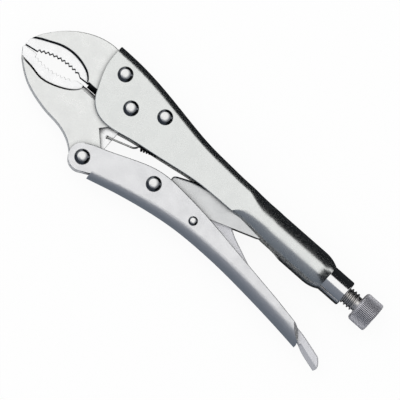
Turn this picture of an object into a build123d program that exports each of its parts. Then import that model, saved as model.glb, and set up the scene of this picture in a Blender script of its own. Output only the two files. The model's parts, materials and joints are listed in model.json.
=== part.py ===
"""Locking pliers of the 250 mm class with curved jaws, a wire cutter and an adjusting screw.

Frame, in millimetres: the jaw pivot is at x = 0, y = 0. X runs from the jaws to the knob, along
the adjusting screw. Y points to the back of the upper handle, so the lever is on the -Y side.
Z = 0 is the surface the pliers lie on, on their side, and +Z is the side that is looked at.
Every piece is drawn in place, with the jaws shut and the lever locked.
"""
import math
import os

from build123d import *

os.makedirs("parts", exist_ok=True)

# Sheet steel channels
SHEET = 2.5  # wall of both handles
CHANNEL_W = 16.0  # outer width of both handles
BACK_BEND = 5.0  # outer bend radius along the back of the upper handle
EDGE_ROUND = 0.4  # broken edge of the sheared sheet

# Fits
SIDE_GAP = 0.3  # between a channel wall and what moves inside it
RUN_GAP = 0.05  # radial clearance of a turning joint
PRESS_GAP = 0.02  # radial allowance of a riveted or pressed seat
JAW_GAP = 0.3  # between the shut cutting edges
HUB_GAP = 0.6  # between the hub of the moving jaw and the hollow of the fixed one

# Rivets
HEAD_D = 9.0
HEAD_H = 2.2
SHANK_D = 6.0
PIN_HEAD_D = 5.4
PIN_HEAD_H = 1.3
PIN_D = 3.6
CROWN = 2.6  # radius of the flat crown of a head, in radii of the head
SHOULDER = 0.62  # where the crown turns down to the rim, in radii of the head
RIM = 0.12  # upright rim under the shoulder, as a share of the head's height
PRESSED_EDGE = 0.3  # rounded edge of the pressed head, as a share of its height

# Derived widths and levels
INNER_W = CHANNEL_W - 2 * SHEET
JAW_T = INNER_W - 2 * SIDE_GAP
MID_Z = HEAD_H + CHANNEL_W / 2
MID = Plane.XY.offset(MID_Z)

# Pivot centres, x and y
JAW_PIVOT = (0.0, 0.0)
FRONT_RIVET = (-14.9, 12.3)
REAR_RIVET = (17.6, 8.9)
LEVER_PIVOT = (-2.6, -38.4)
LINK_PIVOT = (37.4, -23.4)
RELEASE_PIVOT = (67.6, -24.5)
LINK_END = (108.0, 1.9)
AXIS_Y = 1.9  # adjusting screw

# Upper handle: where the channel starts to close, where the tube is round, its end
FRONT_X = -26.8
CLOSE_X = 80.0
TUBE_X = 104.0
NECK_X = 136.0
TUBE_END = 145.0
TUBE_H = 20.9
TUBE_W = 2 * MID_Z  # so that the tube lies on the same surface as the rivet heads
SLOT_END = 119.0
SLOT_TAPER = 10.0  # length over which the slot for the link narrows to its end
ROUND = 0.48  # corner radius of an all but round section, as a share of its width

# Threaded bush, screw and knob
BUSH_D = 16.0
BUSH_END = 159.0
SPIGOT_D = 13.0
SPIGOT_X = 139.0
BUSH_ROUND = 0.9
BUSH_MOUTH = 0.7  # chamfer where the screw goes in
THREAD_D = 10.6
THREAD_DEPTH = 0.95
PITCH = 2.1
TIP_GAP = 4.2  # room for the end of the link in front of the screw
LINK_R = 5.0  # rounded end of the link
KNOB_X = 168.0
KNOB_END = 179.7
KNOB_D = 18.3
KNURLS = 60
KNURL_DEPTH = 0.4
KNOB_FRONT_ROUND = 2.0
KNOB_END_ROUND = 1.2
SEAT_D = 8.0
SEAT_END = KNOB_END - 3.0  # bottom of the seat of the screw in the knob

# Jaws
HUB_R = 12.6
LOBE_R = 7.5
TOOTH_PITCH = 2.65
TOOTH_DEPTH = 1.2
CUT_Y = -7.0  # line of the shut cutting edges
CUT_FRONT = -26.6
EDGE_FLAT = 0.35  # half the flat left on a cutting edge
RELIEF = 1.5  # depth of the ground relief beside the teeth
RELIEF_WALL = 1.1  # how far its sloping wall reaches in
TAB_T = 4.0  # tab of the moving jaw for the spring hook
JAW_ROUND = 0.5  # rounded outer edges of both jaws

# Toggle link and release lever
LINK_SHEET = 2.0
LINK_W = JAW_T
RELEASE_T = LINK_W - 2 * LINK_SHEET - 2 * SIDE_GAP
RELEASE_ROUND = 0.8
RELEASE_BOSS = 1.9  # wall of the boss round the release pin
TAIL_BEVEL = 2.4  # bevel along the underside of the tail, across
TAIL_BEVEL_DEPTH = 1.55

# Lever
END_BEVEL = 0.9  # bevel of the rear end of both walls

# Jaw opening spring
WIRE_D = 1.1
COIL_R = 2.9
COIL_PITCH = 1.65
COIL_TURNS = 15
COIL_START = (17.6, -11.3)
COIL_ANGLE = 21.8
SPRING_HOLE = (0.5, -20.5)
HOOK_ANGLE = 18.5  # line of the front hook
HOOK_R = 1.7
REAR_RUN = 17.0  # from the end of the coil to the tab that holds the rear hook


def polar(centre, radius, angle):
    """Point at a radius and an angle in degrees round a centre."""
    a = math.radians(angle)
    return (centre[0] + radius * math.cos(a), centre[1] + radius * math.sin(a))


def arc_centre(a, b, c):
    """Centre of the circle through three points."""
    d = 2 * (a[0] * (b[1] - c[1]) + b[0] * (c[1] - a[1]) + c[0] * (a[1] - b[1]))
    a2, b2, c2 = (p[0] ** 2 + p[1] ** 2 for p in (a, b, c))
    x = (a2 * (b[1] - c[1]) + b2 * (c[1] - a[1]) + c2 * (a[1] - b[1])) / d
    y = (a2 * (c[0] - b[0]) + b2 * (a[0] - c[0]) + c2 * (b[0] - a[0])) / d
    return (x, y)


def tooth_line(a, b, c):
    """Saw-tooth points along the arc through a, b and c, crests on the side of its mouth."""
    centre = arc_centre(a, b, c)
    radius = math.dist(centre, a)
    start = math.degrees(math.atan2(a[1] - centre[1], a[0] - centre[0]))
    end = math.degrees(math.atan2(c[1] - centre[1], c[0] - centre[0]))
    sweep_deg = (end - start + 180) % 360 - 180
    teeth = round(abs(math.radians(sweep_deg)) * radius / TOOTH_PITCH)
    points = []
    for i in range(teeth):
        points.append(polar(centre, radius + TOOTH_DEPTH / 2, start + sweep_deg * i / teeth))
        points.append(polar(centre, radius - TOOTH_DEPTH / 2, start + sweep_deg * (i + 0.5) / teeth))
    points.append(polar(centre, radius + TOOTH_DEPTH / 2, end))
    return points


def face_edges(part, level):
    """Edges of a part that lie flat at one level."""
    return [e for e in part.edges() if abs(e.bounding_box().min.Z - level) < 1e-3
            and abs(e.bounding_box().max.Z - level) < 1e-3]


def rivet(centre, head_d, head_h, shank_d, label):
    """Rivet through both walls of a channel: crowned head in front, flat pressed head behind."""
    low = HEAD_H - head_h
    front = HEAD_H + CHANNEL_W
    head_r = head_d / 2
    edge = PRESSED_EDGE * head_h
    crown_r = CROWN * head_r
    shoulder_r = SHOULDER * head_r
    slope = math.asin(shoulder_r / crown_r)
    rim = (head_r, front + RIM * head_h)
    shoulder = (shoulder_r, front + head_h - crown_r * (1 - math.cos(slope)))
    profile = Plane(origin=(centre[0], centre[1], 0), x_dir=(1, 0, 0), z_dir=(0, -1, 0))
    with BuildPart() as piece:
        with BuildSketch(profile):
            with BuildLine():
                Polyline((0, front + head_h), (0, low), (head_r - edge, low))
                RadiusArc((head_r - edge, low), (head_r, low + edge), -edge)
                Polyline((head_r, low + edge), (head_r, HEAD_H), (shank_d / 2, HEAD_H),
                         (shank_d / 2, front), (head_r, front), rim)
                TangentArc(shoulder, rim, tangent=(math.cos(slope), -math.sin(slope)))
                RadiusArc(shoulder, (0, front + head_h), -crown_r)
            make_face()
        revolve(axis=Axis((centre[0], centre[1], 0), (0, 0, 1)))
    piece.part.label = label
    export_step(piece.part, f"parts/{label}.step")
    return piece.part


def channel_section(x, width, top, low, r_top, r_low):
    """Cross-section at x: a rectangle with its own radius on the back and on the underside."""
    with BuildSketch(Plane.YZ.offset(x)) as section:
        with Locations(((top + low) / 2, MID_Z)):
            Rectangle(top - low, width)
        fillet(section.vertices().group_by(Axis.X)[-1], r_top)
        fillet(section.vertices().group_by(Axis.X)[0], r_low)
    return section.sketch.faces()[0]


def shifted_outlines(contour, rest, levels, tangents=None):
    """Faces at some levels over the middle plane, whose curved side is moved in y at each level."""
    faces = []
    for level, move in levels:
        curve = [(x, y + move) for x, y in contour]
        with BuildSketch(MID.offset(level)) as outline:
            with BuildLine():
                Spline(*curve, tangents=tangents)
                Polyline(curve[-1], *rest, curve[0])
            make_face()
        faces.append(outline.sketch.faces()[0])
    return faces


def bevel_section(a, b, width, depth, level):
    """Section, at a, of the prism that bevels the edge from a to b, with the piece on its left.

    The bevel goes some width across and some depth down from a level above or below the middle plane.
    """
    along = (Vector(*b) - Vector(*a)).normalized()
    side = math.copysign(1, level)
    with BuildSketch(Plane(origin=(a[0], a[1], MID_Z), x_dir=(-along.Y, along.X, 0), z_dir=along)) as section:
        with BuildLine():
            Polyline((2 * width, level + side * depth), (-4 * width, level - 5 * side * depth),
                     (-4 * width, level + side * depth), close=True)
        make_face()
    return section.sketch.faces()[0]


# Outline of the front half of the upper handle
HANDLE_BACK = [(FRONT_X, 23.2), (-10, 22.75), (10, 20.4), (30, 16.95), (50, 14.15), (65, 13.3),
               (CLOSE_X, 12.8)]
HANDLE_LOW = [(CLOSE_X, -5.9), (68, -6.05), (55, -6.6), (40, -8.7), (25, -11.1), (10, -13.5),
              (-4.5, -15.95)]
HANDLE_FRONT = [(-4.5, -15.95), (-12.7, -14.3), (-18.4, -9.7), (-22, -2.5), (-25.2, 5.7),
                (FRONT_X, 16.6)]
INNER_BACK = [(x, y - SHEET) for x, y in HANDLE_BACK]
BACK_TANGENTS = [(1, 0), (1, 0)]
TUBE_TOP = AXIS_Y + TUBE_H / 2
TUBE_LOW = AXIS_Y - TUBE_H / 2
TUBE_R = ROUND * min(TUBE_W, TUBE_H)
NECK_W = BUSH_D + 0.65 * (TUBE_W - BUSH_D)
NECK_H = BUSH_D + 0.65 * (TUBE_H - BUSH_D)
NECK_R = ROUND * min(NECK_W, NECK_H)
LIP_D = BUSH_D + 0.3
# each section: x, width, top, low, radius on the back, radius underneath
HANDLE_SECTIONS = [
    (CLOSE_X, CHANNEL_W, HANDLE_BACK[-1][1], HANDLE_LOW[0][1], BACK_BEND, EDGE_ROUND),
    (84.5, 0.85 * CHANNEL_W + 0.15 * TUBE_W, 12.7, -6.35, 0.64 * TUBE_R, 0.56 * TUBE_R),
    (90, 0.55 * CHANNEL_W + 0.45 * TUBE_W, 12.55, -7.05, 0.87 * TUBE_R, 0.8 * TUBE_R),
    (97, 0.2 * CHANNEL_W + 0.8 * TUBE_W, 12.45, -7.8, 0.96 * TUBE_R, 0.94 * TUBE_R),
    (TUBE_X, TUBE_W, TUBE_TOP, TUBE_LOW, TUBE_R, TUBE_R),
]
NECK_SECTIONS = [
    (NECK_X, TUBE_W, TUBE_TOP, TUBE_LOW, TUBE_R, TUBE_R),
    (141.5, NECK_W, AXIS_Y + NECK_H / 2, AXIS_Y - NECK_H / 2, NECK_R, NECK_R),
    (TUBE_END, LIP_D, AXIS_Y + LIP_D / 2, AXIS_Y - LIP_D / 2, 0.497 * LIP_D, 0.497 * LIP_D),
]

# Spring directions, needed by the tab that holds its rear hook
COIL_A = math.radians(COIL_ANGLE)
COIL_DIR = Vector(math.cos(COIL_A), math.sin(COIL_A), 0)
COIL_UP = Vector(-math.sin(COIL_A), math.cos(COIL_A), 0)
COIL_C0 = Vector(COIL_START[0], COIL_START[1], MID_Z)
COIL_LEN = COIL_TURNS * COIL_PITCH
TAB_AT = COIL_C0 + COIL_DIR * (COIL_LEN + REAR_RUN) + COIL_UP * COIL_R - Vector(0, 0, HOOK_R)

with BuildPart() as upper_handle:
    # channel from the jaws to where it starts to close
    with BuildSketch(MID):
        with BuildLine():
            Spline(*HANDLE_BACK, tangents=BACK_TANGENTS)
            Line(HANDLE_BACK[-1], HANDLE_LOW[0])
            Spline(*HANDLE_LOW, *HANDLE_FRONT[1:])
            Line(HANDLE_FRONT[-1], HANDLE_BACK[0])
        make_face()
    extrude(amount=CHANNEL_W / 2, both=True)
    back_edges = [e for level in (MID_Z - CHANNEL_W / 2, MID_Z + CHANNEL_W / 2)
                  for e in face_edges(upper_handle.part, level)
                  if e.center().Y > 12 and e.length > 60]
    fillet(back_edges, BACK_BEND)
    # the sheared edges are broken
    sheared = [e for level in (MID_Z - CHANNEL_W / 2, MID_Z + CHANNEL_W / 2)
               for e in face_edges(upper_handle.part, level)
               if e.center().Y < 8 and e.center().X < CLOSE_X - 5]
    fillet(sheared, EDGE_ROUND)
    # the channel closes into a tube, which necks down to the bush
    loft(sections=[channel_section(*s) for s in HANDLE_SECTIONS])
    straight = [channel_section(*HANDLE_SECTIONS[-1]), channel_section(*NECK_SECTIONS[0])]
    loft(sections=straight, ruled=True)
    loft(sections=[channel_section(*s) for s in NECK_SECTIONS])
    # hollow
    with BuildSketch(MID):
        with BuildLine():
            Spline(*INNER_BACK, tangents=BACK_TANGENTS)
            Polyline(INNER_BACK[-1], (CLOSE_X, -30), (FRONT_X - 5, -30),
                     (FRONT_X - 5, INNER_BACK[0][1]), INNER_BACK[0])
        make_face()
    extrude(amount=INNER_W / 2, both=True, mode=Mode.SUBTRACT)
    hollow = []
    for x, width, top, low, r_top, r_low in HANDLE_SECTIONS + NECK_SECTIONS[:1]:
        inner_w = width - 2 * SHEET
        inner_low = max(r_low - SHEET, 0.3)
        hollow.append(channel_section(x, inner_w, top - SHEET, low + SHEET, r_top - SHEET, inner_low))
    loft(sections=hollow[:-1], mode=Mode.SUBTRACT)
    loft(sections=hollow[-2:], ruled=True, mode=Mode.SUBTRACT)
    with BuildSketch(Plane.YZ.offset(NECK_X - 1)):
        with Locations((AXIS_Y, MID_Z)):
            Circle(SPIGOT_D / 2 + PRESS_GAP)
    extrude(amount=TUBE_END - NECK_X + 2, mode=Mode.SUBTRACT)
    # slot on the underside for the link, narrowing to its end
    slot_x = CLOSE_X - SLOT_TAPER
    slot_w = INNER_W + 2 * RUN_GAP
    with BuildSketch(Plane.XZ.offset(-AXIS_Y + SHEET)):
        with Locations((slot_x, MID_Z)):
            Rectangle(SLOT_END - SLOT_TAPER - slot_x, slot_w, align=(Align.MIN, Align.CENTER))
        with Locations((SLOT_END - SLOT_TAPER, MID_Z)):
            Ellipse(SLOT_TAPER, slot_w / 2)
    extrude(amount=TUBE_H, mode=Mode.SUBTRACT)
    # tab bent in from the back, with the window it leaves, for the rear hook of the spring
    tab_plane = Plane(origin=TAB_AT, x_dir=COIL_UP, z_dir=COIL_DIR)
    with BuildSketch(tab_plane):
        with Locations((2.0, HOOK_R)):
            Rectangle(9.0, 7.0)
    extrude(amount=SHEET - 0.3)
    with BuildSketch(tab_plane.offset(-2)):
        Circle(WIRE_D / 2 + 0.45)
    extrude(amount=8, mode=Mode.SUBTRACT)
    with BuildSketch(Plane.XZ.offset(-8)):
        with Locations((TAB_AT.X + 4.2, MID_Z)):
            RectangleRounded(5.0, 7.0, 1.0)
    extrude(amount=-8, mode=Mode.SUBTRACT)
    # rivet holes
    with BuildSketch(Plane.XY.offset(-5)):
        with Locations(JAW_PIVOT, FRONT_RIVET, REAR_RIVET):
            Circle(SHANK_D / 2 + PRESS_GAP)
    extrude(amount=40, mode=Mode.SUBTRACT)
upper_handle.part.label = "upper_handle"
export_step(upper_handle.part, "parts/upper_handle.step")

with BuildPart() as threaded_bush:
    profile = Plane(origin=(0, AXIS_Y, MID_Z), x_dir=(1, 0, 0), z_dir=(0, -1, 0))
    bore = THREAD_D / 2 + RUN_GAP
    with BuildSketch(profile):
        with BuildLine():
            Polyline((SPIGOT_X, bore), (SPIGOT_X, SPIGOT_D / 2), (TUBE_END, SPIGOT_D / 2),
                     (TUBE_END, BUSH_D / 2), (BUSH_END - BUSH_ROUND, BUSH_D / 2))
            RadiusArc((BUSH_END - BUSH_ROUND, BUSH_D / 2), (BUSH_END, BUSH_D / 2 - BUSH_ROUND), BUSH_ROUND)
            Polyline((BUSH_END, BUSH_D / 2 - BUSH_ROUND), (BUSH_END, bore + BUSH_MOUTH),
                     (BUSH_END - BUSH_MOUTH, bore), (SPIGOT_X, bore))
        make_face()
    revolve(axis=Axis((0, AXIS_Y, MID_Z), (1, 0, 0)))
threaded_bush.part.label = "threaded_bush"
export_step(threaded_bush.part, "parts/threaded_bush.step")

# Fixed jaw
FIXED_RELIEF = [(-69.5, -7.0), (-66.1, -4.4), (-59, -0.9), (-53.2, 1.6), (-44, 3.0), (-37.3, 2.0),
                (-31.5, -0.4), (-27.9, -4.2)]
FIXED_RELIEF_END = [(-29, -8), (-40, -20), (-69.5, -20)]
FIXED_TEETH = tooth_line((-35.6, -4.4), (-47.0, -4.4), (-60.0, -9.0))
with BuildPart() as fixed_jaw:
    hollow_r = HUB_R + HUB_GAP
    edge_y = CUT_Y + JAW_GAP / 2
    hollow_x = -math.sqrt(hollow_r ** 2 - edge_y ** 2)
    tail_y = 2.4
    tail_x = math.sqrt(hollow_r ** 2 - tail_y ** 2)
    with BuildSketch(MID):
        with BuildLine():
            Spline((-68.2, -7.6), (-65.4, -2.0), (-60.4, 4.6), (-54, 10.8), (-45, 16.6), (-36, 19.8),
                   (-27.5, 20.5))
            Spline((-27.5, 20.5), (-10, 20.1), (10, 17.6), (25.4, 14.9))
            Polyline((25.4, 14.9), (25.4, tail_y), (tail_x, tail_y))
            ThreePointArc((tail_x, tail_y), (0, hollow_r), (hollow_x, edge_y))
            Polyline((hollow_x, edge_y), (CUT_FRONT, edge_y), (CUT_FRONT, -4.9), (-33.0, -5.3),
                     *FIXED_TEETH, (-60.6, -10.0), (-68.3, -11.3), (-68.2, -7.6))
        make_face()
    extrude(amount=JAW_T / 2, both=True)
    # ground relief beside the teeth, both sides
    for side in (1, -1):
        levels = [(side * JAW_T / 2, 0), (side * (JAW_T / 2 - RELIEF), -RELIEF_WALL)]
        relief = shifted_outlines(FIXED_RELIEF, FIXED_RELIEF_END, levels)
        loft(sections=relief, ruled=True, mode=Mode.SUBTRACT)
    # cutting edge: bevels from both sides
    for side in (1, -1):
        with BuildSketch(Plane.YZ.offset(CUT_FRONT - 1)):
            with BuildLine():
                Polyline((-4.2, MID_Z + side * JAW_T / 2), (edge_y, MID_Z + side * EDGE_FLAT),
                         (edge_y - 2, MID_Z + side * EDGE_FLAT), (edge_y - 2, MID_Z + side * JAW_T),
                         (-4.2, MID_Z + side * JAW_T), close=True)
            make_face()
        extrude(amount=hollow_x - CUT_FRONT - 1.2, mode=Mode.SUBTRACT)
    with BuildSketch(Plane.XY):
        with Locations(FRONT_RIVET, REAR_RIVET):
            Circle(SHANK_D / 2 + PRESS_GAP)
    extrude(amount=40, mode=Mode.SUBTRACT)
    outer = [e for level in (MID_Z - JAW_T / 2, MID_Z + JAW_T / 2)
             for e in face_edges(fixed_jaw.part, level)
             if e.center().X < -30 and e.center().Y > 6]
    fillet(outer, JAW_ROUND)
fixed_jaw.part.label = "fixed_jaw"
export_step(fixed_jaw.part, "parts/fixed_jaw.step")

# Moving jaw
MOVING_RELIEF = [(-69.8, -17.2), (-63.2, -18.8), (-57.3, -19.4), (-50.0, -20.7), (-43.0, -19.6),
                 (-36.0, -16.8), (-31.5, -14.0), (-28.4, -10.6)]
MOVING_RELIEF_END = [(-27.6, -7.8), (-33, -3), (-69.8, -3)]
MOVING_TEETH = tooth_line((-59.0, -13.0), (-47.5, -13.5), (-36.0, -9.9))
with BuildPart() as moving_jaw:
    edge_y = CUT_Y - JAW_GAP / 2
    hub_x = -math.sqrt(HUB_R ** 2 - edge_y ** 2)
    hub_end = polar(JAW_PIVOT, HUB_R, -89)
    lobe_in = polar(LEVER_PIVOT, LOBE_R, 208)
    lobe_out = polar(LEVER_PIVOT, LOBE_R, 18)
    with BuildSketch(MID):
        with BuildLine():
            Polyline((-68.2, -12.0), (-68.7, -13.4), (-65.1, -18.4))
            Spline((-65.1, -18.4), (-60.0, -22.6), (-53.0, -27.0), (-44, -30.2), (-34, -32.3),
                   (-24, -33.5), (-17.5, -35.7), lobe_in)
            ThreePointArc(lobe_in, polar(LEVER_PIVOT, LOBE_R, 290), lobe_out)
            Polyline(lobe_out, (1.6, -27.6), (-6.2, -19.9), hub_end)
            ThreePointArc(hub_end, polar(JAW_PIVOT, HUB_R, 45), (hub_x, edge_y))
            Polyline((hub_x, edge_y), (CUT_FRONT, edge_y), (-33.4, -8.2), *reversed(MOVING_TEETH),
                     (-60.0, -11.5), (-68.2, -12.0))
        make_face()
    extrude(amount=JAW_T / 2, both=True)
    # thin tab behind the step, with the hole for the spring hook
    with BuildSketch(MID):
        with BuildLine():
            Polyline(hub_end, (3.6, -12.6), (3.6, -28.5), (1.6, -30.0), (-7, -22), (-7, -15.5), hub_end)
        make_face()
    extrude(amount=TAB_T / 2, both=True)
    for side in (1, -1):
        levels = [(side * JAW_T / 2, 0), (side * (JAW_T / 2 - RELIEF), RELIEF_WALL)]
        relief = shifted_outlines(MOVING_RELIEF, MOVING_RELIEF_END, levels)
        loft(sections=relief, ruled=True, mode=Mode.SUBTRACT)
    for side in (1, -1):
        with BuildSketch(Plane.YZ.offset(CUT_FRONT - 2)):
            with BuildLine():
                Polyline((-9.8, MID_Z + side * JAW_T / 2), (edge_y, MID_Z + side * EDGE_FLAT),
                         (edge_y + 2, MID_Z + side * EDGE_FLAT), (edge_y + 2, MID_Z + side * JAW_T),
                         (-9.8, MID_Z + side * JAW_T), close=True)
            make_face()
        extrude(amount=hub_x - CUT_FRONT - 1.5, mode=Mode.SUBTRACT)
    with BuildSketch(Plane.XY):
        with Locations(JAW_PIVOT, LEVER_PIVOT):
            Circle(SHANK_D / 2 + RUN_GAP)
        with Locations(SPRING_HOLE):
            Circle(WIRE_D / 2 + 0.35)
    extrude(amount=40, mode=Mode.SUBTRACT)
    outer = [e for level in (MID_Z - JAW_T / 2, MID_Z + JAW_T / 2)
             for e in face_edges(moving_jaw.part, level)
             if e.center().X < -14 and e.center().Y < -21.5 and e.length > 20]
    fillet(outer, JAW_ROUND)
moving_jaw.part.label = "moving_jaw"
export_step(moving_jaw.part, "parts/moving_jaw.step")

# Lower handle: a channel whose back gets rounder towards the tail
LEVER_LOW = [(6.8, -45.3), (20, -41.8), (35, -38.4), (50, -35.75), (65, -34.15), (80, -33.75), (95, -34.05),
             (110, -35.0), (125, -36.3), (140, -37.85), (152, -39.3), (164, -40.85)]
LEVER_SPAN = LEVER_LOW[-1][0] - LEVER_LOW[0][0]
LEVER_BENDS = [(0.29 + 0.2 * (x - LEVER_LOW[0][0]) / LEVER_SPAN) * CHANNEL_W for x, low in LEVER_LOW]
EAR_R = 7.9
EAR_IN = polar(LEVER_PIVOT, EAR_R, 120)
EAR_OUT = polar(LEVER_PIVOT, EAR_R, 305)
LEVER_TOP = [EAR_IN, (0.5, -28.3), (5, -26.7), (15, -22.65), (25, -18.65), (33, -16.2), (41, -15.1),
             (52, -15.4), (70, -17.0), (90, -19.9), (110, -22.95), (130, -26.0), (147.8, -29.2)]
TOP_TANGENTS = [(math.cos(math.radians(30)), math.sin(math.radians(30))), (0.984, -0.177)]
LEVER_HEEL = (156.6, -38.8)
BACK_X = LEVER_LOW[0][0]
with BuildPart() as lever_envelope:
    loft(sections=[channel_section(x, CHANNEL_W, 0, low, 0.2, bend)
                   for (x, low), bend in zip(LEVER_LOW, LEVER_BENDS)])
    with BuildSketch(MID):
        with BuildLine():
            Polyline((BACK_X, 0), (BACK_X, -42.4), EAR_OUT, (EAR_OUT[0], -60), (-30, -60), (-30, 0),
                     close=True)
        make_face()
    extrude(amount=CHANNEL_W / 2, both=True)
with BuildPart() as lower_handle:
    # side view with the ears beside the moving jaw, then the rounded back
    with BuildSketch(MID):
        with BuildLine():
            Spline(*LEVER_TOP, tangents=TOP_TANGENTS)
            Spline(LEVER_TOP[-1], (151.2, -30.9), (155.0, -35.2), LEVER_HEEL)
            Polyline(LEVER_HEEL, (LEVER_HEEL[0], -48), (EAR_OUT[0], -48), EAR_OUT)
            ThreePointArc(EAR_OUT, polar(LEVER_PIVOT, EAR_R, 210), EAR_IN)
        make_face()
    extrude(amount=CHANNEL_W / 2, both=True)
    add(lever_envelope.part, mode=Mode.INTERSECT)
    # broken edge along the sheared top of both walls
    for side in (1, -1):
        outer = CHANNEL_W / 2
        levels = [(side * (outer - EDGE_ROUND), 0), (side * (outer + EDGE_ROUND), -2 * EDGE_ROUND)]
        over = [(LEVER_TOP[-1][0], 0), (LEVER_TOP[0][0], 0)]
        wedge = shifted_outlines(LEVER_TOP, over, levels, TOP_TANGENTS)
        loft(sections=wedge, ruled=True, mode=Mode.SUBTRACT)
    loft(sections=[channel_section(x, INNER_W, 5, low + SHEET, 0.2, bend - SHEET)
                   for (x, low), bend in zip(LEVER_LOW, LEVER_BENDS)], mode=Mode.SUBTRACT)
    with BuildSketch(MID):
        with Locations((-6.6, -36)):
            Rectangle(27, 40)
    extrude(amount=INNER_W / 2, both=True, mode=Mode.SUBTRACT)
    with BuildSketch(Plane.XY.offset(-5)):
        with Locations(LEVER_PIVOT, LINK_PIVOT):
            Circle(SHANK_D / 2 + PRESS_GAP)
        with Locations(RELEASE_PIVOT):
            Circle(PIN_D / 2 + PRESS_GAP)
    extrude(amount=40, mode=Mode.SUBTRACT)
    # bevelled rear end
    for level in (CHANNEL_W / 2, -CHANNEL_W / 2):
        bevel = bevel_section(LEVER_HEEL, LEVER_TOP[-1], END_BEVEL, END_BEVEL, level)
        extrude(bevel, amount=math.dist(LEVER_HEEL, LEVER_TOP[-1]), mode=Mode.SUBTRACT)
lower_handle.part.label = "lower_handle"
export_step(lower_handle.part, "parts/lower_handle.step")

# Toggle link, drawn along its own line from the link pivot to its end
LINK_VEC = Vector(*LINK_END) - Vector(*LINK_PIVOT)
LINK_LEN = LINK_VEC.length
LINK_PLANE = Plane(origin=(LINK_PIVOT[0], LINK_PIVOT[1], MID_Z), x_dir=LINK_VEC, z_dir=(0, 0, 1))
LINK_LOBE = 8.0
LINK_BACK = [(8.2, 6.2), (8.9, 8.2), (13.0, 9.3), (18.0, 9.7), (26.0, 9.6), (46.0, 7.6)]
LINK_LOWER = 6.55
with BuildPart() as toggle_link:
    nose_in = polar((0, 0), LINK_LOBE, 62)
    lobe_x = math.sqrt(LINK_LOBE ** 2 - LINK_LOWER ** 2)
    with BuildSketch(LINK_PLANE):
        with BuildLine():
            Line(nose_in, LINK_BACK[0])
            Spline(*LINK_BACK)
            Line(LINK_BACK[-1], (LINK_LEN - 4, LINK_R))
            Line((LINK_LEN - 4, LINK_R), (LINK_LEN, LINK_R))
            ThreePointArc((LINK_LEN, LINK_R), (LINK_LEN + LINK_R, 0), (LINK_LEN, -LINK_R))
            Polyline((LINK_LEN, -LINK_R), (LINK_LEN - 10, -LINK_LOWER), (lobe_x, -LINK_LOWER))
            ThreePointArc((lobe_x, -LINK_LOWER), (-LINK_LOBE, 0), nose_in)
        make_face()
    extrude(amount=LINK_W / 2, both=True)
    back_edges = [e for level in (MID_Z - LINK_W / 2, MID_Z + LINK_W / 2)
                  for e in face_edges(toggle_link.part, level)
                  if LINK_PLANE.to_local_coords(e.center()).Y > 5.5 and e.length > 20]
    fillet(back_edges, LINK_SHEET)
    inside = [(x + 0.3, y - LINK_SHEET) for x, y in LINK_BACK]
    with BuildSketch(LINK_PLANE):
        with BuildLine():
            Spline(*inside)
            Polyline(inside[-1], (LINK_LEN - 3, LINK_R - LINK_SHEET), (LINK_LEN - 3, -20), (-20, -20),
                     (-20, 12), (inside[0][0], 12), inside[0])
        make_face()
    extrude(amount=LINK_W / 2 - LINK_SHEET, both=True, mode=Mode.SUBTRACT)
    with BuildSketch(Plane.XY):
        with Locations(LINK_PIVOT):
            Circle(SHANK_D / 2 + RUN_GAP)
    extrude(amount=40, mode=Mode.SUBTRACT)
toggle_link.part.label = "toggle_link"
export_step(toggle_link.part, "parts/toggle_link.step")

# Release lever: nose and hump inside the link, strip inside the lever, tail behind it
TAIL_LOW = (157.5, -38.0)
TAIL_TIP = (173.2, -42.6)
with BuildPart() as release_lever:
    with BuildSketch(MID):
        with BuildLine():
            Spline((63.5, -22.5), (70, -17.5), (76, -9.6), (80, -8.4), (84, -10.6), (90, -14.7),
                   (98.2, -18.3), (110, -23.0), (125, -26.2), (142, -28.9), (154.6, -30.9), (163, -33.0),
                   (170.2, -35.1))
            Spline((170.2, -35.1), (172.6, -37.4), (174.0, -41.0), TAIL_TIP)
            Spline(TAIL_TIP, (167, -40.9), (161, -38.9), (156.5, -36.75), (150, -35.5), (130, -33.35),
                   (110, -31.7), (90, -30.2), (72, -29.2))
            Spline((72, -29.2), (65.5, -29.0), (62.6, -26.0), (63.5, -22.5))
        make_face()
    extrude(amount=RELEASE_T / 2, both=True)
    rims = [e for level in (MID_Z - RELEASE_T / 2, MID_Z + RELEASE_T / 2)
            for e in face_edges(release_lever.part, level)]
    fillet(rims, RELEASE_ROUND)
    for level in (RELEASE_T / 2, -RELEASE_T / 2):
        bevel = bevel_section(TAIL_LOW, TAIL_TIP, TAIL_BEVEL, TAIL_BEVEL_DEPTH, level)
        extrude(bevel, amount=math.dist(TAIL_LOW, TAIL_TIP) + TAIL_BEVEL, mode=Mode.SUBTRACT)
    with BuildSketch(MID):
        with Locations(RELEASE_PIVOT):
            Circle(PIN_D / 2 + RELEASE_BOSS)
    extrude(amount=JAW_T / 2, both=True)
    with BuildSketch(Plane.XY):
        with Locations(RELEASE_PIVOT):
            Circle(PIN_D / 2 + RUN_GAP)
    extrude(amount=40, mode=Mode.SUBTRACT)
release_lever.part.label = "release_lever"
export_step(release_lever.part, "parts/release_lever.step")

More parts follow.
